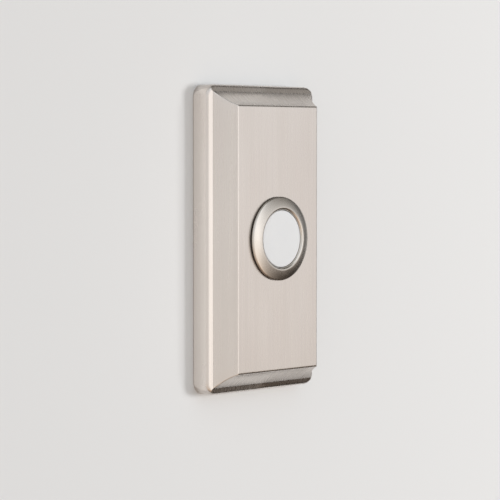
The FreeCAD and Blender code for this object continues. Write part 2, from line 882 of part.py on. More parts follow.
def make_led_board():
    """The round board behind the lens, with a pin down to each terminal strip."""
    body = new_body("led_board")
    disc_sketch = sketch_on(body, "BoardDisc", "XY_Plane", base_front)
    add_circle(disc_sketch, d["board_diameter"] / 2)
    pad(body, disc_sketch, d["board_thickness"])
    pin_back = terminal_back - d["pin_tail"]
    pin_sketch = sketch_on(body, "BoardPins", "XY_Plane", pin_back)
    for side in SIDES.values():
        add_circle(pin_sketch, d["pin_diameter"] / 2, d["pin_side"] * side, d["pin_up"])
    pad(body, pin_sketch, board_front + d["pin_solder"] - pin_back)
    return body


def make_led_lamp():
    """The lamp: a round-nosed body on a flange."""
    flange = d["lamp_flange_diameter"] / 2
    lamp = d["lamp_diameter"] / 2
    flange_front = board_front + d["lamp_flange_height"]
    nose = board_front + d["lamp_height"]
    points = [
        (0, board_front),
        (flange, board_front),
        (flange, flange_front),
        (lamp, flange_front),
        (lamp, nose - lamp),
        (0, nose, lamp, 1),
    ]
    return revolved("led_lamp", points)


def make_leaded_part(name, outline, diameter, up):
    """A small part lying on the board, on one wire whose ends are bent down to the board.

    The outline is a half section above the part's own axis, which runs along X.
    """
    body = new_body(name)
    section = sketch_on(body, name + "Section", "XY_Plane")
    add_outline(section, outline)
    turn(body, section, axis="H_Axis")
    height = diameter / 2
    reach = d["lead_span"] / 2
    path = sketch_on(body, name + "Path", "XZ_Plane")
    points = [(-reach, -height), (-reach, 0), (reach, 0), (reach, -height)]
    add_outline(path, points, closed=False)
    wire = sketch_on(body, name + "Wire", "XY_Plane", -height)
    add_circle(wire, d["lead_diameter"] / 2, -reach, 0)
    lead = body.newObject("PartDesign::AdditivePipe", name + "Lead")
    lead.Profile = wire
    lead.Spine = (path, [f"Edge{number}" for number in range(1, len(points))])
    lead.Transition = "Right corner"
    bind(body, "Placement.Base.y", -(board_front + height))
    bind(body, "Placement.Base.z", up)
    return body


def make_series_resistor():
    """The resistor, thicker at both ends than in the middle."""
    half = d["resistor_length"] / 2
    thick = d["resistor_diameter"] / 2
    thin = d["resistor_waist_diameter"] / 2
    end = d["resistor_end_length"]
    step = thick - thin
    outline = [
        (-half, 0),
        (half, 0),
        (half, thin),
        (half - step, thick),
        (half - end, thick),
        (half - end - step, thin),
        (end + step - half, thin),
        (end - half, thick),
        (step - half, thick),
        (-half, thin),
    ]
    return make_leaded_part("series_resistor", outline, d["resistor_diameter"], d["component_up"])


def make_rectifier_diode():
    """The diode, a plain moulded cylinder."""
    half = d["diode_length"] / 2
    radius = d["diode_diameter"] / 2
    outline = [(-half, 0), (half, 0), (half, radius), (-half, radius)]
    return make_leaded_part("rectifier_diode", outline, d["diode_diameter"], -d["component_up"])


# Fixing

def make_mounting_plate():
    """The stamped steel plate: a wire opening, two upright wall slots, a joggled tongue and a bent tab."""
    body = new_body("mounting_plate")
    plate_side = inner_side - d["plate_side_gap"]
    plate_end = inner_top - d["plate_end_gap"]
    opening_side = d["wire_opening_width"] / 2
    sheet_sketch = sketch_on(body, "PlateSheet", "XY_Plane")
    add_rectangle(sheet_sketch, -plate_side, plate_side, -plate_end, plate_end, d["plate_corner"])
    opening_bottom = -d["wire_opening_bottom"]
    corner = d["wire_opening_corner"]
    add_rectangle(sheet_sketch, -opening_side, opening_side, opening_bottom, d["wire_opening_top"], corner)
    slot_place = plate_end - d["wall_slot_inset"]
    for slot_up in (slot_place, -slot_place):
        add_slot(sheet_sketch, d["wall_slot_width"], d["wall_slot_length"], 0, slot_up)
    pad(body, sheet_sketch, d["plate_thickness"])

    thickness = d["plate_thickness"]
    inner_bend = d["plate_bend"]
    outer_bend = inner_bend + thickness
    root = plate_end - outer_bend * 2
    tongue_front = tongue_back + thickness
    tip = inner_top - d["lug_reach"] + d["tongue_overlap"]
    tongue_sketch = sketch_on(body, "Tongue", "YZ_Plane")
    points = [
        (root, 0),
        (plate_end - outer_bend, 0),
        (plate_end, outer_bend, outer_bend, 1),
        (plate_end, tongue_back - inner_bend),
        (plate_end + inner_bend, tongue_back, inner_bend, -1),
        (tip, tongue_back),
        (tip, tongue_front),
        (plate_end + inner_bend, tongue_front),
        (plate_end - thickness, tongue_front - outer_bend, outer_bend, 1),
        (plate_end - thickness, outer_bend),
        (plate_end - outer_bend, thickness, inner_bend, -1),
        (root, thickness),
    ]
    add_outline(tongue_sketch, points)
    pad(body, tongue_sketch, d["tongue_width"], symmetric=True)

    tab_face = d["boss_reach"] + d["tab_gap"] - inner_top
    tab_sketch = sketch_on(body, "Tab", "YZ_Plane")
    points = [
        (-root, 0),
        (-root, thickness),
        (tab_face + outer_bend, thickness),
        (tab_face + thickness, outer_bend, inner_bend, -1),
        (tab_face + thickness, d["tab_depth"]),
        (tab_face, d["tab_depth"]),
        (tab_face, outer_bend),
        (tab_face + outer_bend, 0, outer_bend, 1),
    ]
    add_outline(tab_sketch, points)
    pad(body, tab_sketch, d["tab_width"], symmetric=True)
    hole_sketch = sketch_on(body, "TabHole", "XZ_Plane")
    add_circle(hole_sketch, d["grub_diameter"] / 2 + d["grub_hole_clearance"], 0, d["grub_depth"])
    pocket(body, hole_sketch, reverse=True)
    return body


def make_cover_screw():
    """The grub screw that locks the cover, with a hexagon socket at its outer end."""
    radius = d["grub_diameter"] / 2
    chamfer = d["grub_chamfer"]
    point = d["grub_point"]
    points = [
        (0, 0),
        (radius - chamfer, 0),
        (radius, chamfer),
        (radius, d["grub_length"] - point),
        (radius - point, d["grub_length"]),
        (0, d["grub_length"]),
    ]
    body = revolved("cover_screw", points)
    socket_sketch = sketch_on(body, "HexSocket", "XY_Plane")
    add_hexagon(socket_sketch, d["hex_key"])
    pocket(body, socket_sketch, d["hex_socket_depth"], reverse=True)
    body.Placement = FreeCAD.Placement()
    bind(body, "Placement.Base.y", -d["grub_depth"])
    bind(body, "Placement.Base.z", d["grub_recess"] - half_height)
    return body


# The whole push

def check_document():
    """Stops if any object of the document failed or any body is not one sound solid."""
    for item in doc.Objects:
        if "Invalid" in item.State or "Error" in item.State:
            raise RuntimeError(f"{item.Label} failed: {item.State}")
    for body in bodies:
        shape = body.Shape
        if shape.isNull() or not shape.isValid() or len(shape.Solids) != 1:
            raise RuntimeError(f"{body.Label} is not one valid solid")


bodies = [
    make_cover(),
    make_bezel_ring(),
    make_lock_washer(),
    make_bezel_nut(),
    make_button_cap(),
    make_contact_ring(),
    make_return_spring(),
    make_switch_base(),
    make_led_board(),
    make_led_lamp(),
    make_series_resistor(),
    make_rectifier_diode(),
    make_mounting_plate(),
    make_cover_screw(),
]
for side_name, side_sign in SIDES.items():
    bodies += [
        make_terminal("terminal_" + side_name, side_sign),
        make_contact_rivet("contact_rivet_" + side_name, side_sign),
        make_clamp_washer("clamp_washer_" + side_name, side_sign),
        make_terminal_screw("terminal_screw_" + side_name, side_sign),
    ]

doc.recompute()
check_document()
os.makedirs("parts", exist_ok=True)
for body in bodies:
    body.Shape.exportStep(f"parts/{body.Label}.step")
    box = body.Shape.BoundBox
    corners = (box.XMin, box.YMin, box.ZMin, box.XMax, box.YMax, box.ZMax)
    print(body.Label, round(body.Shape.Volume, 2), [round(number, 2) for number in corners])
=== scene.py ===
"""Looks of a surface-mounted doorbell push: coved nickel cover, low-domed bezel and lit white lens.

Metres throughout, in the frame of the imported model: +Z up, the button faces -Y, the wall is the plane Y = 0.
A depth is measured out of the wall, against Y.
"""

import math

import bmesh
import bpy
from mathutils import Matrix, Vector


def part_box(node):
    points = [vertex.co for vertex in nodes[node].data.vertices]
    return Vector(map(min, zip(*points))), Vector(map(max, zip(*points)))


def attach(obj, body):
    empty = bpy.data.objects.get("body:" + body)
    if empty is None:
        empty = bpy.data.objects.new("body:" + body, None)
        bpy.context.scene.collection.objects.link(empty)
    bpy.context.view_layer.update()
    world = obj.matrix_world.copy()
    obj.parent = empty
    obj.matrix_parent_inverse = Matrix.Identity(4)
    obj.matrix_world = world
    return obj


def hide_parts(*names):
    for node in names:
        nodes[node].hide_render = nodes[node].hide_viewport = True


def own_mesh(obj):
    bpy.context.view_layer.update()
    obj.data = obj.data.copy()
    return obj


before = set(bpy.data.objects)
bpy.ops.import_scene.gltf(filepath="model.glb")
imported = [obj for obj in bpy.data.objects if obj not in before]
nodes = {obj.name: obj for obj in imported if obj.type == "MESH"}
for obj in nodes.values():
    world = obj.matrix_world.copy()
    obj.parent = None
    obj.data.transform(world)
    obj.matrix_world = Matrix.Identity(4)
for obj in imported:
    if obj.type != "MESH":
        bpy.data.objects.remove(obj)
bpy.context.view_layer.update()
MM = 0.001


# Sizes of the cover

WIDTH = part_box("cover")[1].x * 2
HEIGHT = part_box("cover")[1].z * 2
FACE_DEPTH = -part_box("cover")[0].y
BORDER = 6.65 * MM
OUTER_CORNER = 4.0 * MM
OUTER_ROUND = 1.35 * MM
LAND_WIDTH = 2.2 * MM
LAND_RISE = 0.75 * MM
LAND_DEPTH = 6.65 * MM
QUIRK = 0.06 * MM
COVE_RADIUS = 15.8 * MM
HIP_CORNER = 0.3 * MM
FACE_ROUND = 0.8 * MM
FACE_CORNER = 0.3 * MM
FACE_WALL = 1.8 * MM
SLEEVE_HOLE = 11.9 * MM
RIM_WALL = 2.0 * MM
RIM_CAVITY_DEPTH = 4.6 * MM
CAVITY_CORNER = 2.0 * MM
CAVITY_HIP = 0.4 * MM
CAVITY_STEP = 1.9 * MM
CAVITY_DRAFT = math.radians(29)

LUG_WIDTH = 15.0 * MM
LUG_REACH = 3.0 * MM
LUG_FRONT = 2.9 * MM
LUG_BACK = 0.4 * MM
BOSS_WIDTH = 9.0 * MM
BOSS_REACH = 2.4 * MM
BOSS_FRONT = 5.8 * MM
CAST_EDGE = 0.2 * MM
GRUB_DEPTH = 3.3 * MM
GRUB_HOLE = 1.55 * MM


# Sizes of the bezel, the lens and the spring

RING_FOOT = 12.6 * MM
RING_RIM_ROUND = 0.6 * MM
RING_OUTER_SLOPE = math.radians(22)
RING_INNER_SLOPE = math.radians(11)
LIP_RADIUS = 9.45 * MM
LIP_ROUND = 0.8 * MM
LIP_BACK = FACE_DEPTH - 0.8 * MM
BORE_RADIUS = 10.1 * MM
SHOULDER_RADIUS = 10.8 * MM
SEAT_RADIUS = 11.0 * MM
ROLLED_RADIUS = 10.4 * MM
SLEEVE_RADIUS = 11.75 * MM
BASE_FRONT = 6.6 * MM
BASE_BACK = 4.6 * MM

LENS_FRONT = 14.9 * MM
LENS_RADIUS = 9.3 * MM
LENS_SHOULDER = 0.3 * MM
LENS_DOME = 0.15 * MM
LENS_SIDE_WALL = 2.1 * MM
LENS_FRONT_WALL = 1.5 * MM
FLANGE_THICKNESS = 1.2 * MM

SPRING_SEAT = 6.6 * MM
SPRING_TOP = 13.5 * MM
SPRING_SEAT_RADIUS = 6.3 * MM
SPRING_TOP_RADIUS = 5.7 * MM
SPRING_WIRE = 0.25 * MM
SPRING_TURNS = 3.5


# Meshes

MERGE_DISTANCE = 1e-7
AXIS_DISTANCE = 1e-6
TURNED_SIDES = 192


def finish_mesh(bm, name, sharp_degrees=35):
    """Turns a bmesh into an object of the scene, smooth except across edges sharper than sharp_degrees."""
    bmesh.ops.remove_doubles(bm, verts=bm.verts, dist=MERGE_DISTANCE)
    bmesh.ops.recalc_face_normals(bm, faces=bm.faces)
    mesh = bpy.data.meshes.new(name)
    bm.to_mesh(mesh)
    bm.free()
    smooth_mesh(mesh, sharp_degrees)
    item = bpy.data.objects.new(name, mesh)
    bpy.context.scene.collection.objects.link(item)
    return item


def smooth_mesh(mesh, sharp_degrees):
    """Shades a mesh smooth, except across edges sharper than sharp_degrees."""
    for polygon in mesh.polygons:
        polygon.use_smooth = True
    mesh.set_sharp_from_angle(angle=math.radians(sharp_degrees))


def add_loop(bm, points):
    """A ring of vertices."""
    return [bm.verts.new(point) for point in points]


def bridge(bm, one, other):
    """Joins two rings that have as many vertices with a band of quads."""
    count = len(one)
    for index in range(count):
        after = (index + 1) % count
        bm.faces.new((one[index], one[after], other[after], other[index]))


def ellipse_arc(centre, across, along, start, end, steps):
    """Points of an elliptic arc in the plane of a section, by its half axes and angles in radians."""
    turns = [start + (end - start) * step / steps for step in range(steps + 1)]
    return [(centre[0] + across * math.cos(turn), centre[1] + along * math.sin(turn)) for turn in turns]


def arc(centre, radius, start, end, steps):
    """Points of an arc in the plane of a section, angles in radians."""
    return ellipse_arc(centre, radius, radius, start, end, steps)


def revolve(name, section, count=TURNED_SIDES):
    """A closed body turned about the Y axis from (radius, depth) points."""
    bm = bmesh.new()
    loops = []
    for radius, depth in section:
        if radius < AXIS_DISTANCE:
            loops.append([bm.verts.new((0, -depth, 0))])
            continue
        turns = [2 * math.pi * index / count for index in range(count)]
        points = [(radius * math.cos(turn), -depth, radius * math.sin(turn)) for turn in turns]
        loops.append(add_loop(bm, points))
    closed = len(loops[0]) > 1
    for index in range(len(loops) if closed else len(loops) - 1):
        one, other = loops[index], loops[(index + 1) % len(loops)]
        if len(one) == 1 or len(other) == 1:
            tip, ring = (one[0], other) if len(one) == 1 else (other[0], one)
            for step in range(count):
                bm.faces.new((tip, ring[step], ring[(step + 1) % count]))
        else:
            bridge(bm, one, other)
    return finish_mesh(bm, name)


# Cover

CORNER_STEPS = 10
LONG_STEPS = 24
SHORT_STEPS = 12
OUTER_ROUND_STEPS = 10
COVE_STEPS = 22
FACE_ROUND_STEPS = 10
CORNER_SIGNS = ((1, 1), (-1, 1), (-1, -1), (1, -1))

# Depths of the loops up the plain side, and places of the loops across the land as shares of its width
SIDE_DEPTHS = (0, 0.05 * MM, 2.5 * MM)
LAND_SHARES = (0.06, 0.5, 0.94, 1.0)

# Loops on the face inside its edge, and round the sleeve hole as a share of its radius
FACE_MARGINS = (0.3 * MM, 1.5 * MM)
HOLE_MARGIN = 1.25
COVER_SHARP = 22


def run_round(corner_points):
    """Joins the points of four corners with evenly divided straights, turning left from the right."""
    points = []
    for quarter in range(4):
        points += corner_points(quarter)
        before, after = points[-1], corner_points((quarter + 1) % 4)[0]
        steps = SHORT_STEPS if quarter % 2 == 0 else LONG_STEPS
        for step in range(1, steps):
            share = step / steps
            points.append(tuple(before[axis] + (after[axis] - before[axis]) * share for axis in (0, 1)))
    return points


def rounded_outline(inset, corner):
    """Plan points of a rounded rectangle, inset from the cover's outline."""
    half_x, half_z = WIDTH / 2 - inset - corner, HEIGHT / 2 - inset - corner

    def corner_points(quarter):
        sign_x, sign_z = CORNER_SIGNS[quarter]
        start = quarter * math.pi / 2
        return arc((sign_x * half_x, sign_z * half_z), corner, start, start + math.pi / 2, CORNER_STEPS)

    return run_round(corner_points)


def mitred_outline(inset, reach):
    """Plan points of a plain rectangle, spaced at its corners like those of a rounded one of that reach."""
    half_x, half_z = WIDTH / 2 - inset, HEIGHT / 2 - inset

    def corner_points(quarter):
        sign_x, sign_z = CORNER_SIGNS[quarter]
        points = []
        for step in range(CORNER_STEPS + 1):
            turn = math.pi / 2 * step / CORNER_STEPS
            short_x = reach * max(0, 1 - math.sin(math.pi / 2 - turn) / math.sin(math.pi / 4))
            short_z = reach * max(0, 1 - math.sin(turn) / math.sin(math.pi / 4))
            if quarter % 2:
                short_x, short_z = short_z, short_x
            points.append((sign_x * (half_x - short_x), sign_z * (half_z - short_z)))
        return points

    return run_round(corner_points)


def at_depth(outline, depth):
    """A plan outline at one depth."""
    return [(x, -depth, z) for x, z in outline]


def rounded_rectangle(inset, corner, depth):
    """Points of a rounded rectangle at one depth, inset from the cover's outline."""
    return at_depth(rounded_outline(inset, corner), depth)


def circle_like(points, radius, depth):
    """A circle with one point for each of the given points, in the same directions."""
    turns = [math.atan2(z, x) for x, _, z in points]
    return [(radius * math.cos(turn), -depth, radius * math.sin(turn)) for turn in turns]


def land_height(x, z):
    """Height of the sloping land, or of its mitre, over a place in plan."""
    inset = min(WIDTH / 2 - abs(x), HEIGHT / 2 - abs(z))
    return LAND_DEPTH - LAND_RISE * (1 - inset / LAND_WIDTH)


def outside_loops(outline, crease):
    """Loops up the outer wall, round its front edge and over the mitred land to the crease."""
    columns = []
    for start, end in zip(outline, crease):
        start, end = Vector(start), Vector(end)
        inward = end - start
        run = inward.length
        inward.normalize()
        low = land_height(*start)
        tilt = math.atan2(LAND_DEPTH - low, run)
        drop = OUTER_ROUND * math.tan((math.pi / 2 - tilt) / 2)
        round_centre = (OUTER_ROUND, low - drop)
        column = arc(round_centre, OUTER_ROUND, math.pi, math.pi / 2 + tilt, OUTER_ROUND_STEPS)
        round_end = column[-1][0]
        for share in LAND_SHARES:
            distance = round_end + (run - round_end) * share
            column.append((distance, low + distance * math.tan(tilt)))
        places = [(start + inward * distance, height) for distance, height in column]
        columns.append([(place.x, -height, place.y) for place, height in places])
    return [at_depth(outline, depth) for depth in SIDE_DEPTHS] + [list(loop) for loop in zip(*columns)]


def cove_section():
    """The section from the crease up the cove and round the face's edge, as (inset, depth, plan corner)."""
    start = Vector((LAND_WIDTH, LAND_DEPTH + QUIRK))
    end = Vector((BORDER, FACE_DEPTH))
    chord = end - start
    half = math.asin(chord.length / 2 / COVE_RADIUS)
    middle = (start + end) / 2
    outward = Vector((-chord.y, chord.x)).normalized()
    cove_centre = middle + outward * COVE_RADIUS * math.cos(half)
    first = math.atan2(start.y - cove_centre.y, start.x - cove_centre.x)

    # The face edge's round touches the cove and the face
    rounding = FACE_DEPTH - FACE_ROUND
    reach = COVE_RADIUS + FACE_ROUND
    across = math.sqrt(reach**2 - (rounding - cove_centre.y) ** 2)
    round_centre = (cove_centre.x + across, rounding)
    touch = math.atan2(rounding - cove_centre.y, across)
    section = [(x, y, HIP_CORNER) for x, y in arc(cove_centre, COVE_RADIUS, first, touch, COVE_STEPS)]
    for x, y in arc(round_centre, FACE_ROUND, touch + math.pi, math.pi / 2, FACE_ROUND_STEPS)[1:]:
        section.append((x, y, FACE_CORNER))
    return section


def cavity_loops(plain, face_back):
    """Loops from the sleeve hole over the back of the face and down the drafted hollow to the rim."""
    step_inset = RIM_WALL + CAVITY_STEP
    drafted = step_inset + (face_back - RIM_CAVITY_DEPTH) * math.tan(CAVITY_DRAFT)
    return [
        circle_like(plain, SLEEVE_HOLE, face_back),
        circle_like(plain, SLEEVE_HOLE * HOLE_MARGIN, face_back),
        rounded_rectangle(drafted, CAVITY_HIP, face_back),
        rounded_rectangle(step_inset, CAVITY_HIP, RIM_CAVITY_DEPTH),
        rounded_rectangle(RIM_WALL, CAVITY_CORNER, RIM_CAVITY_DEPTH),
        rounded_rectangle(RIM_WALL, CAVITY_CORNER, 0),
    ]


def build_cover():
    """The cover as one closed shell: border, face, sleeve hole and the hollow behind."""
    section = cove_section()
    crease = mitred_outline(LAND_WIDTH, OUTER_CORNER - LAND_WIDTH)
    outline = outside_loops(rounded_outline(0, OUTER_CORNER), crease)
    outline.append(at_depth(crease, LAND_DEPTH + QUIRK))
    outline += [rounded_rectangle(inset, corner, depth) for inset, depth, corner in section[1:]]
    face_inset = section[-1][0]
    outline += [rounded_rectangle(face_inset + margin, FACE_CORNER, FACE_DEPTH) for margin in FACE_MARGINS]
    plain = outline[-1]
    outline.append(circle_like(plain, SLEEVE_HOLE * HOLE_MARGIN, FACE_DEPTH))
    outline.append(circle_like(plain, SLEEVE_HOLE, FACE_DEPTH))
    outline += cavity_loops(plain, FACE_DEPTH - FACE_WALL)
    bm = bmesh.new()
    loops = [add_loop(bm, points) for points in outline]
    for index, loop in enumerate(loops):
        bridge(bm, loop, loops[(index + 1) % len(loops)])
    cover = finish_mesh(bm, "cover_shell", COVER_SHARP)
    cut_grub_hole(cover)
    return cover


def cut_grub_hole(cover):
    """The hole in the bottom wall that the grub screw goes up through."""
    bm = bmesh.new()
    depth = RIM_WALL * 3
    bmesh.ops.create_cone(bm, segments=48, radius1=GRUB_HOLE, radius2=GRUB_HOLE, depth=depth, cap_ends=True)
    bmesh.ops.translate(bm, verts=bm.verts, vec=(0, -GRUB_DEPTH, -HEIGHT / 2))
    cutter = finish_mesh(bm, "grub_cutter")
    modifier = cover.modifiers.new("GrubHole", "BOOLEAN")
    modifier.operation = "DIFFERENCE"
    modifier.solver = "EXACT"
    modifier.object = cutter
    bpy.context.view_layer.update()
    cut = bpy.data.meshes.new_from_object(cover.evaluated_get(bpy.context.evaluated_depsgraph_get()))
    cover.modifiers.clear()
    cover.data = cut
    bpy.data.objects.remove(cutter)


def build_block(name, low, high):
    """A cast block with soft edges between two corners."""
    bm = bmesh.new()
    bmesh.ops.create_cube(bm, size=1)
    size, middle = high - low, (high + low) / 2
    bmesh.ops.scale(bm, vec=size, verts=bm.verts)
    bmesh.ops.translate(bm, vec=middle, verts=bm.verts)
    bmesh.ops.bevel(bm, geom=bm.edges, offset=CAST_EDGE, segments=3, affect="EDGES", profile=0.5)
    return finish_mesh(bm, name)


def build_lugs():
    """The top lug and the screw boss inside the cover."""
    inner = HEIGHT / 2 - RIM_WALL
    root = inner + RIM_WALL / 2
    lug_low = Vector((-LUG_WIDTH / 2, -LUG_FRONT, inner - LUG_REACH))
    lug_high = Vector((LUG_WIDTH / 2, -LUG_BACK, root))
    boss_low = Vector((-BOSS_WIDTH / 2, -BOSS_FRONT, -root))
    boss_high = Vector((BOSS_WIDTH / 2, -LUG_BACK, BOSS_REACH - inner))
    lug = build_block("cover_lug", lug_low, lug_high)
    boss = build_block("cover_boss", boss_low, boss_high)
    return [lug, boss]


# Bezel and lens

FOOT_STEPS = 8
RIM_STEPS = 10
CROWN_STEPS = 14
LIP_STEPS = 14
SHOULDER_STEPS = 10
DOME_STEPS = 14


def build_bezel():
    """The ring, drawn in at its foot and rising to a soft lip, with the sleeve behind it."""
    box_low, box_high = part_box("bezel_ring")
    outer = box_high.x
    back = -box_high.y
    crest = -box_low.y

    # From the lip outward: a shallow arc between two slopes, the rim's round and the foot
    lip_centre = (LIP_RADIUS + LIP_ROUND, crest - LIP_ROUND)
    lip_start = math.pi / 2 - RING_INNER_SLOPE
    lip = arc(lip_centre, LIP_ROUND, lip_start, math.pi, LIP_STEPS)
    rim_end = math.pi / 2 - RING_OUTER_SLOPE
    rim_centre = outer - RING_RIM_ROUND
    run = rim_centre + RING_RIM_ROUND * math.cos(rim_end) - lip[0][0]
    crown_radius = run / (math.cos(rim_end) - math.cos(lip_start))
    crown_centre = (
        lip[0][0] - crown_radius * math.cos(lip_start),
        lip[0][1] - crown_radius * math.sin(lip_start),
    )
    crown = arc(crown_centre, crown_radius, rim_end, lip_start, CROWN_STEPS)
    waist = crown[0][1] - RING_RIM_ROUND * math.sin(rim_end)
    rim = arc((rim_centre, waist), RING_RIM_ROUND, 0, rim_end, RIM_STEPS)
    undercut = outer - RING_FOOT
    foot = ellipse_arc((RING_FOOT, waist), undercut, waist - FACE_DEPTH, -math.pi / 2, 0, FOOT_STEPS)
    section = foot + rim[1:] + crown[1:] + lip[1:]
    section += [
        (LIP_RADIUS, FACE_DEPTH),
        (BORE_RADIUS, FACE_DEPTH),
        (BORE_RADIUS, LIP_BACK),
        (SHOULDER_RADIUS, LIP_BACK),
        (SHOULDER_RADIUS, BASE_FRONT),
        (SEAT_RADIUS, BASE_FRONT),
        (SEAT_RADIUS, BASE_BACK),
        (ROLLED_RADIUS, BASE_BACK),
        (ROLLED_RADIUS, back),
        (SLEEVE_RADIUS, back),
        (SLEEVE_RADIUS, FACE_DEPTH),
    ]
    return revolve("bezel_dome", section)


def build_lens():
    """The white lens: a hollow thimble with a flange, a small round at its edge and a very low dome."""
    box_low, box_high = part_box("button_cap")
    back = -box_high.y
    flange = box_high.x
    flange_back = LIP_BACK - FLANGE_THICKNESS
    inner = LENS_RADIUS - LENS_SIDE_WALL
    inner_front = -box_low.y - LENS_FRONT_WALL
    flat = LENS_RADIUS - LENS_SHOULDER
    sphere = (flat**2 + LENS_DOME**2) / (2 * LENS_DOME)
    edge_turn = math.asin(flat / sphere)
    section = [
        (0, inner_front),
        (inner, inner_front),
        (inner, back),
        (LENS_RADIUS, back),
        (LENS_RADIUS, flange_back),
        (flange, flange_back),
        (flange, LIP_BACK),
        (LENS_RADIUS, LIP_BACK),
    ]
    section += arc((flat, LENS_FRONT - LENS_SHOULDER), LENS_SHOULDER, 0, math.pi / 2, SHOULDER_STEPS)
    for step in range(1, DOME_STEPS + 1):
        turn = edge_turn * (1 - step / DOME_STEPS)
        section.append((sphere * math.sin(turn), LENS_FRONT + LENS_DOME - sphere * (1 - math.cos(turn))))
    return revolve("lens", section)


# Spring

COIL_STEPS = 280
WIRE_SIDES = 10
EASED_SHARE = 0.35
SPRING_SHARP = 60


def build_spring():
    """The conical return spring in round wire, wound closer towards its two ends."""
    seat = SPRING_SEAT + SPRING_WIRE
    top = SPRING_TOP - SPRING_WIRE
    along = Vector((0, -1, 0))
    bm = bmesh.new()
    rings = []
    for step in range(COIL_STEPS + 1):
        share = step / COIL_STEPS
        eased = share * share * (3 - 2 * share)
        climb = eased * EASED_SHARE + share * (1 - EASED_SHARE)
        turn = 2 * math.pi * SPRING_TURNS * share
        radius = SPRING_SEAT_RADIUS + (SPRING_TOP_RADIUS - SPRING_SEAT_RADIUS) * share
        outward = Vector((math.cos(turn), 0, math.sin(turn)))
        middle = outward * radius + along * (seat + (top - seat) * climb)
        angles = [2 * math.pi * side / WIRE_SIDES for side in range(WIRE_SIDES)]
        rims = [outward * math.cos(angle) + along * math.sin(angle) for angle in angles]
        rings.append(add_loop(bm, [middle + rim * SPRING_WIRE for rim in rims]))
    for one, other in zip(rings, rings[1:]):
        bridge(bm, one, other)
    bm.faces.new(rings[0])
    bm.faces.new(list(reversed(rings[-1])))
    return finish_mesh(bm, "spring_wire", SPRING_SHARP)


# Materials

# The range that nearly all of a noise texture's values lie in
NOISE_LOW = 0.3
NOISE_HIGH = 0.7

# How metal clouds over the plate, and how high its grain stands
CLOUD_SCALE = 60
CLOUD_STRETCH = (1, 1, 0.35)
GRAIN_RELIEF = 0.02 * MM

# The same for a moulding, with how much its roughness varies
MOULDING_CLOUD = 120
MOULDING_GRAIN = 2500
MOULDING_BUMP = 0.05
MOULDING_RELIEF = 0.01 * MM
MOULDING_ROUGHNESS = 0.04
GLOW_COLOURS = (1.0, 0.95, 0.9)
GLOW_DEPTH = 1.2 * MM


def new_material(name):
    """An empty node material and its Principled shader."""
    material = bpy.data.materials.new(name)
    material.use_nodes = True
    return material, material.node_tree, material.node_tree.nodes["Principled BSDF"]


def add_noise(tree, scale, stretch=(1, 1, 1), detail=4.0, roughness=0.55):
    """Noise in object coordinates, stretched by (x, y, z) factors; returns its value socket."""
    place = tree.nodes.new("ShaderNodeTexCoord")
    mapping = tree.nodes.new("ShaderNodeMapping")
    mapping.inputs["Scale"].default_value = stretch
    noise = tree.nodes.new("ShaderNodeTexNoise")
    noise.inputs["Scale"].default_value = scale
    noise.inputs["Detail"].default_value = detail
    noise.inputs["Roughness"].default_value = roughness
    tree.links.new(place.outputs["Object"], mapping.inputs["Vector"])
    tree.links.new(mapping.outputs["Vector"], noise.inputs["Vector"])
    return noise.outputs["Fac"]


def spread(tree, value, low, high, from_low=NOISE_LOW, from_high=NOISE_HIGH):
    """Maps a value, of noise unless its range is given, to the range from low to high."""
    scale = tree.nodes.new("ShaderNodeMapRange")
    scale.inputs["From Min"].default_value = from_low
    scale.inputs["From Max"].default_value = from_high
    scale.inputs["To Min"].default_value = low
    scale.inputs["To Max"].default_value = high
    tree.links.new(value, scale.inputs["Value"])
    return scale.outputs["Result"]


def blend_colours(tree, factor, first, second):
    """A mix of two colours, each a colour socket or three plain numbers."""
    mix = tree.nodes.new("ShaderNodeMix")
    mix.data_type = "RGBA"
    for place, colour in (("A", first), ("B", second)):
        if isinstance(colour, tuple):
            mix.inputs[place].default_value = (*colour, 1)
        else:
            tree.links.new(colour, mix.inputs[place])
    tree.links.new(factor, mix.inputs["Factor"])
    return mix.outputs["Result"]


def add_bump(tree, shader, height, strength, distance):
    """Bump from a height value."""
    bump = tree.nodes.new("ShaderNodeBump")
    bump.inputs["Strength"].default_value = strength
    bump.inputs["Distance"].default_value = distance
    tree.links.new(height, bump.inputs["Height"])
    tree.links.new(bump.outputs["Normal"], shader.inputs["Normal"])


def metal(
    name, first, second, rough, stretch=(1, 1, 1), grain_scale=400, grain=0.05, bump=0.1, anisotropic=0.0
):
    """A plated or plain metal: clouds change its colour a little, a fine grain its roughness and relief."""
    material, tree, shader = new_material(name)
    shader.inputs["Metallic"].default_value = 1.0
    value = add_noise(tree, grain_scale, stretch)
    cloud = add_noise(tree, CLOUD_SCALE, CLOUD_STRETCH, 2.0)
    tree.links.new(blend_colours(tree, spread(tree, cloud, 0, 1), first, second), shader.inputs["Base Color"])
    tree.links.new(spread(tree, value, rough - grain, rough + grain), shader.inputs["Roughness"])
    add_bump(tree, shader, value, bump, GRAIN_RELIEF)
    if anisotropic:
        shader.inputs["Anisotropic"].default_value = anisotropic
        tangent = tree.nodes.new("ShaderNodeTangent")
        tangent.direction_type = "RADIAL"
        tangent.axis = "Z"
        tree.links.new(tangent.outputs["Tangent"], shader.inputs["Tangent"])
    return material


def paint_foot_shade(material, colour, low, high):
    """Paints shade into a metal's colour where it meets the face, dark up to the first depth and plain past
    the second.
    """
    tree = material.node_tree
    shader = tree.nodes["Principled BSDF"]
    plain = shader.inputs["Base Color"].links[0].from_socket
    place = tree.nodes.new("ShaderNodeTexCoord")
    parts = tree.nodes.new("ShaderNodeSeparateXYZ")
    tree.links.new(place.outputs["Object"], parts.inputs["Vector"])
    towards_wall = spread(tree, parts.outputs["Y"], 0, 1, -high, -low)
    tree.links.new(blend_colours(tree, towards_wall, plain, colour), shader.inputs["Base Color"])


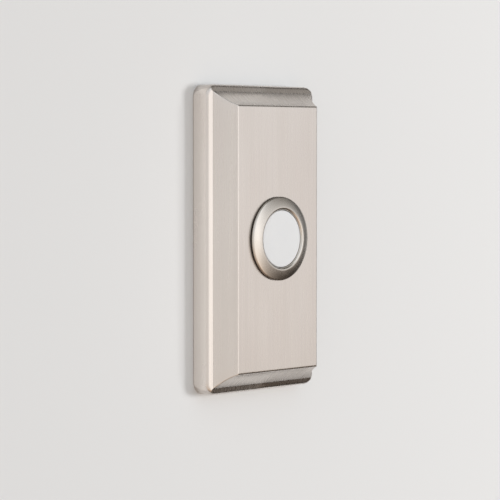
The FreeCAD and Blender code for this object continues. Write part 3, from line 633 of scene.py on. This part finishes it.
def moulding(name, first, second, rough, coat=0.0, glow=0.0):
    """A moulded or coated material with a faint cloudiness and a very fine texture."""
    material, tree, shader = new_material(name)
    cloud = add_noise(tree, MOULDING_CLOUD, detail=3.0)
    fine = add_noise(tree, MOULDING_GRAIN, detail=2.0)
    low, high = rough - MOULDING_ROUGHNESS, rough + MOULDING_ROUGHNESS
    tree.links.new(blend_colours(tree, spread(tree, cloud, 0, 1), first, second), shader.inputs["Base Color"])
    tree.links.new(spread(tree, fine, low, high), shader.inputs["Roughness"])
    add_bump(tree, shader, fine, MOULDING_BUMP, MOULDING_RELIEF)
    shader.inputs["Coat Weight"].default_value = coat
    if glow:
        shader.inputs["Subsurface Weight"].default_value = glow
        shader.inputs["Subsurface Radius"].default_value = GLOW_COLOURS
        shader.inputs["Subsurface Scale"].default_value = GLOW_DEPTH
    return material


# The cover is brushed upright and the ring is turned
UPRIGHT_GRAIN = (1, 0.06, 0.012)
TURNED_GRAIN = (0.25, 1, 0.25)

# Shade painted on the ring's foot where it meets the face: dark up to the first depth and plain past the
# second
FOOT_SHADE_TONE = (0.10, 0.085, 0.07)
FOOT_SHADE_FROM = FACE_DEPTH + 0.3 * MM
FOOT_SHADE_TO = FACE_DEPTH + 0.75 * MM

satin_nickel = metal(
    "satin_nickel", (0.635, 0.59, 0.55), (0.605, 0.555, 0.515), rough=0.28,
    stretch=UPRIGHT_GRAIN, grain_scale=1500, grain=0.03, bump=0.08, anisotropic=0.6,
)
bright_nickel = metal(
    "bright_nickel", (0.60, 0.56, 0.515), (0.575, 0.535, 0.49), rough=0.26,
    stretch=TURNED_GRAIN, grain_scale=900, grain=0.03, bump=0.03,
)
# Painted shade on the ring's foot, where it meets the face
paint_foot_shade(bright_nickel, FOOT_SHADE_TONE, FOOT_SHADE_FROM, FOOT_SHADE_TO)
plain_brass = metal("plain_brass", (0.80, 0.60, 0.28), (0.70, 0.50, 0.22), rough=0.32)
zinc_plate = metal("zinc_plate", (0.62, 0.64, 0.66), (0.50, 0.52, 0.55), rough=0.38)
spring_steel = metal("spring_steel", (0.42, 0.42, 0.43), (0.34, 0.34, 0.35), rough=0.28)
white_lens = moulding("white_lens", (0.735, 0.745, 0.75), (0.72, 0.73, 0.74), rough=0.34, glow=0.25)
dark_moulding = moulding("dark_moulding", (0.030, 0.027, 0.025), (0.040, 0.035, 0.032), rough=0.45)
green_board = moulding("green_board", (0.03, 0.17, 0.07), (0.04, 0.21, 0.09), rough=0.3, coat=0.3)
clear_lamp = moulding("clear_lamp", (0.85, 0.84, 0.78), (0.80, 0.80, 0.75), rough=0.12)
resistor_body = moulding("resistor_body", (0.58, 0.44, 0.28), (0.50, 0.38, 0.24), rough=0.4)

NODE_MATERIALS = {
    "cover": satin_nickel,
    "bezel_ring": bright_nickel,
    "button_cap": white_lens,
    "lock_washer": zinc_plate,
    "bezel_nut": plain_brass,
    "contact_ring": plain_brass,
    "return_spring": spring_steel,
    "switch_base": dark_moulding,
    "led_board": green_board,
    "led_lamp": clear_lamp,
    "series_resistor": resistor_body,
    "rectifier_diode": dark_moulding,
    "mounting_plate": zinc_plate,
    "cover_screw": zinc_plate,
}
PAIRED_MATERIALS = {
    "terminal": plain_brass,
    "contact_rivet": plain_brass,
    "clamp_washer": zinc_plate,
    "terminal_screw": zinc_plate,
}
for pair, material in PAIRED_MATERIALS.items():
    for side in ("left", "right"):
        NODE_MATERIALS[f"{pair}_{side}"] = material
NODE_SHARP = 40


def dress(item, material):
    """Gives an object its one material."""
    item.data.materials.clear()
    item.data.materials.append(material)


for name, material in NODE_MATERIALS.items():
    dress(nodes[name], material)
    smooth_mesh(nodes[name].data, NODE_SHARP)


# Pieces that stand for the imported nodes

def stand_for(piece, node, body, material):
    """Dresses a piece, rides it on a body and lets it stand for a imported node, where one is named."""
    dress(piece, material)
    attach(piece, body)
    if node:
        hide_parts(node)


stand_for(build_cover(), "cover", "housing", satin_nickel)
for lug in build_lugs():
    stand_for(lug, None, "housing", satin_nickel)
stand_for(build_bezel(), "bezel_ring", "housing", bright_nickel)
stand_for(build_lens(), "button_cap", "button", white_lens)
spring = build_spring()
stand_for(spring, "return_spring", "housing", spring_steel)
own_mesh(spring)


# Wall

WALL_COLOUR = (0.76, 0.765, 0.765)
WALL_ROUGHNESS = 0.9
WALL_REACH = 1.5


def build_wall():
    """A pale wall round the foot of the push, open where the cover hides it and seen through from behind."""
    bm = bmesh.new()
    inner = rounded_rectangle(0, OUTER_CORNER, 0)
    outer = circle_like(inner, WALL_REACH, 0)
    bridge(bm, add_loop(bm, inner), add_loop(bm, outer))
    for face in bm.faces:
        face.normal_update()
        if face.normal.y > 0:
            face.normal_flip()
    mesh = bpy.data.meshes.new("wall")
    bm.to_mesh(mesh)
    bm.free()
    wall = bpy.data.objects.new("wall", mesh)
    bpy.context.scene.collection.objects.link(wall)
    material, tree, shader = new_material("wall_paint")
    shader.inputs["Base Color"].default_value = (*WALL_COLOUR, 1)
    shader.inputs["Roughness"].default_value = WALL_ROUGHNESS
    clear = tree.nodes.new("ShaderNodeBsdfTransparent")
    facing = tree.nodes.new("ShaderNodeNewGeometry")
    mix = tree.nodes.new("ShaderNodeMixShader")
    tree.links.new(facing.outputs["Backfacing"], mix.inputs["Fac"])
    tree.links.new(shader.outputs["BSDF"], mix.inputs[1])
    tree.links.new(clear.outputs["BSDF"], mix.inputs[2])
    tree.links.new(mix.outputs["Shader"], tree.nodes["Material Output"].inputs["Surface"])
    dress(wall, material)


build_wall()


# Lamps

# The key gives the shadow at the left
KEY_PLACE = (0.9, -1.1, 0.05)
KEY_SIZE = (0.4, 0.4)
KEY_POWER = 10.0

# A low card just off the wall, beside the cover, shows in its side wall
CARD_SIZE = (0.040, 0.112)
CARD_LEVEL = 0.30
CARD_LEFT = -WIDTH / 2 - CARD_SIZE[0] / 2
CARD_DEPTH = 0.3 * MM
CARD_POWER = CARD_LEVEL * math.pi * CARD_SIZE[0] * CARD_SIZE[1]


def add_area(name, place, target, size, power, seen_by_matt, seen_by_gloss):
    """A soft lamp of (width, height) that looks at a point and lights only matt or only glossy surfaces."""
    lamp = bpy.data.lights.new(name, "AREA")
    lamp.shape = "RECTANGLE"
    lamp.size, lamp.size_y = size
    lamp.energy = power
    item = bpy.data.objects.new(name, lamp)
    item.location = place
    item.rotation_euler = (Vector(target) - Vector(place)).to_track_quat("-Z", "Y").to_euler()
    item.visible_camera = False
    item.visible_diffuse = seen_by_matt
    item.visible_glossy = seen_by_gloss
    bpy.context.scene.collection.objects.link(item)


add_area("key", KEY_PLACE, (0, 0, 0), KEY_SIZE, KEY_POWER, True, False)
add_area("card", (CARD_LEFT, -CARD_DEPTH, 0), (CARD_LEFT, -1, 0), CARD_SIZE, CARD_POWER, False, True)


# Studio

# What the metal sees, by elevation in degrees, to the left of the wall's normal and to its right
LEFT_SKY = [
    (-90, (0.25, 0.18, 0.13)),
    (-65, (0.38, 0.27, 0.20)),
    (-50, (0.80, 0.63, 0.50)),
    (-25, (0.96, 0.86, 0.77)),
    (-5, (0.97, 0.95, 0.93)),
    (10, (0.97, 0.98, 1.00)),
    (35, (0.97, 1.01, 1.06)),
    (60, (0.80, 0.84, 0.86)),
    (75, (0.42, 0.44, 0.44)),
    (90, (0.28, 0.29, 0.29)),
]
RIGHT_SKY = [
    (-90, (0.06, 0.045, 0.035)),
    (-26, (0.08, 0.062, 0.048)),
    (-17, (0.11, 0.09, 0.075)),
    (-10, (0.62, 0.56, 0.51)),
    (-6, (1.04, 1.00, 0.98)),
    (4, (1.04, 1.05, 1.07)),
    (10, (0.80, 0.80, 0.80)),
    (19, (0.44, 0.43, 0.41)),
    (30, (0.24, 0.22, 0.20)),
    (90, (0.13, 0.13, 0.11)),
]

# The azimuths between which the left sky changes into the right one
SKY_CHANGE = (5, 50)

# How bright it is by azimuth, in degrees from the wall's normal, right positive
AZIMUTH_LEVELS = [
    (-180, 1.05),
    (-125, 1.35),
    (-100, 1.50),
    (-82, 1.05),
    (-60, 0.96),
    (-30, 0.98),
    (-10, 1.12),
    (0, 1.28),
    (6, 1.75),
    (15, 1.95),
    (27, 1.30),
    (36, 1.14),
    (55, 1.12),
    (63, 0.80),
    (71, 0.32),
    (80, 0.13),
    (110, 0.30),
    (180, 0.80),
]

# The share of the studio's light that reaches matt surfaces, beside the key lamp's
SOFT_LIGHT = 0.67
DEGREES = 180 / math.pi


def calculate(tree, operation, first, second=None):
    """The value socket of a math node, fed by sockets or plain numbers."""
    node = tree.nodes.new("ShaderNodeMath")
    node.operation = operation
    for place, value in zip(node.inputs, (first, second)):
        if isinstance(value, (int, float)):
            place.default_value = value
        elif value is not None:
            tree.links.new(value, place)
    return node.outputs["Value"]


def degree_ramp(tree, degrees, span, stops):
    """A colour ramp over an angle in degrees that runs from -span to span."""
    ramp = tree.nodes.new("ShaderNodeValToRGB")
    tree.links.new(spread(tree, degrees, 0, 1, -span, span), ramp.inputs["Fac"])
    elements = ramp.color_ramp.elements
    while len(elements) < len(stops):
        elements.new(0.5)
    for element, (angle, colour) in zip(elements, stops):
        element.position = (angle + span) / (2 * span)
        element.color = (*colour, 1)
    return ramp.outputs["Color"]


def studio_world():
    """The studio that the metal reflects; the camera itself sees the colour of the wall."""
    world = bpy.data.worlds.new("studio")
    bpy.context.scene.world = world
    world.use_nodes = True
    tree = world.node_tree
    place = tree.nodes.new("ShaderNodeTexCoord")
    parts = tree.nodes.new("ShaderNodeSeparateXYZ")
    tree.links.new(place.outputs["Generated"], parts.inputs["Vector"])
    outward = calculate(tree, "MULTIPLY", parts.outputs["Y"], -1.0)
    elevation = calculate(tree, "MULTIPLY", calculate(tree, "ARCSINE", parts.outputs["Z"]), DEGREES)
    turned = calculate(tree, "ARCTAN2", parts.outputs["X"], outward)
    azimuth = calculate(tree, "MULTIPLY", turned, DEGREES)

    left_sky = degree_ramp(tree, elevation, 90, LEFT_SKY)
    right_sky = degree_ramp(tree, elevation, 90, RIGHT_SKY)
    sky = blend_colours(tree, spread(tree, azimuth, 0, 1, *SKY_CHANGE), left_sky, right_sky)
    levels = [(angle, (level, level, level)) for angle, level in AZIMUTH_LEVELS]
    lit = tree.nodes.new("ShaderNodeVectorMath")
    lit.operation = "MULTIPLY"
    tree.links.new(sky, lit.inputs[0])
    tree.links.new(degree_ramp(tree, azimuth, 180, levels), lit.inputs[1])

    sight = tree.nodes.new("ShaderNodeLightPath")
    background = tree.nodes["Background"]
    strength = spread(tree, sight.outputs["Is Diffuse Ray"], 1.0, SOFT_LIGHT, 0, 1)
    seen = blend_colours(tree, sight.outputs["Is Camera Ray"], lit.outputs["Vector"], WALL_COLOUR)
    tree.links.new(strength, background.inputs["Strength"])
    tree.links.new(seen, background.inputs["Color"])


studio_world()


# Camera, at the place that the photograph was taken from

CAMERA_PLACE = (-0.565265, -0.501866, 0.028935)
CAMERA_DIP = 2.504
CAMERA_AZIMUTH = -48.457
CAMERA_LENS = 164.653
SENSOR_WIDTH = 36

camera_data = bpy.data.cameras.new("camera")
camera_data.sensor_width = SENSOR_WIDTH
camera_data.lens = CAMERA_LENS
camera = bpy.data.objects.new("camera", camera_data)
camera.location = CAMERA_PLACE
camera.rotation_euler = (math.radians(90 - CAMERA_DIP), 0, math.radians(CAMERA_AZIMUTH))
bpy.context.scene.collection.objects.link(camera)
bpy.context.scene.camera = camera
bpy.context.scene.view_settings.view_transform = "Standard"
